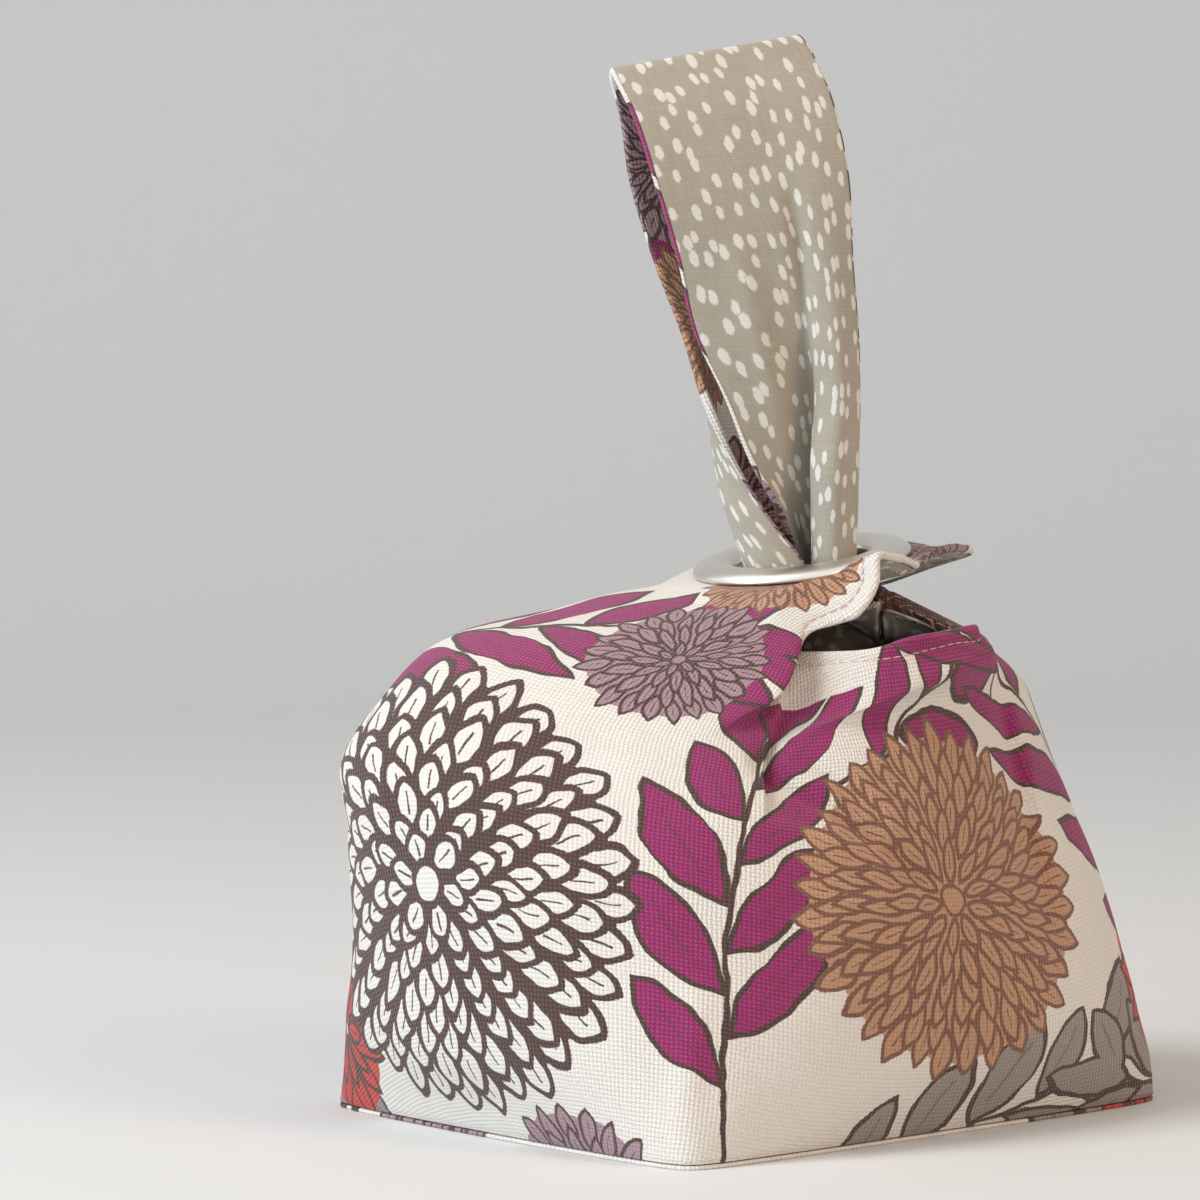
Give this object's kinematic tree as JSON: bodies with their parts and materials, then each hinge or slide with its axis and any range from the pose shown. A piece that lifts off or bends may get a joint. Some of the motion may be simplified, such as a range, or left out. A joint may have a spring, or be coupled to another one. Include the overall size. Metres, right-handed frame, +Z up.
{
  "type": "dumpling bag",
  "caption": "Small lined cloth bag standing closed on a flat rectangular bottom, its strap doubled through a snap grommet in the flap as a hand loop.",
  "frame": {"origin": "middle of the bottom panel's lower face, on the surface that the bag stands on", "axes": "+X from the flap's side to the strap's side, +Y to the back, +Z up"},
  "size_m": [0.242, 0.2376, 0.3166],
  "materials": {
    "print_canvas": "cream duck canvas with a large flower and leaf print",
    "dotted_linen": "grey-beige linen weave with off-white dots",
    "satin_metal": "satin silver"
  },
  "bodies": {
    "root": {"bottom_panel": "print_canvas", "outer_body": "print_canvas", "lining_body": "dotted_linen", "strap_print": "print_canvas", "strap_lining": "dotted_linen", "ring_upper": "satin_metal", "ring_lower": "satin_metal"}
  },
  "joints": []
}
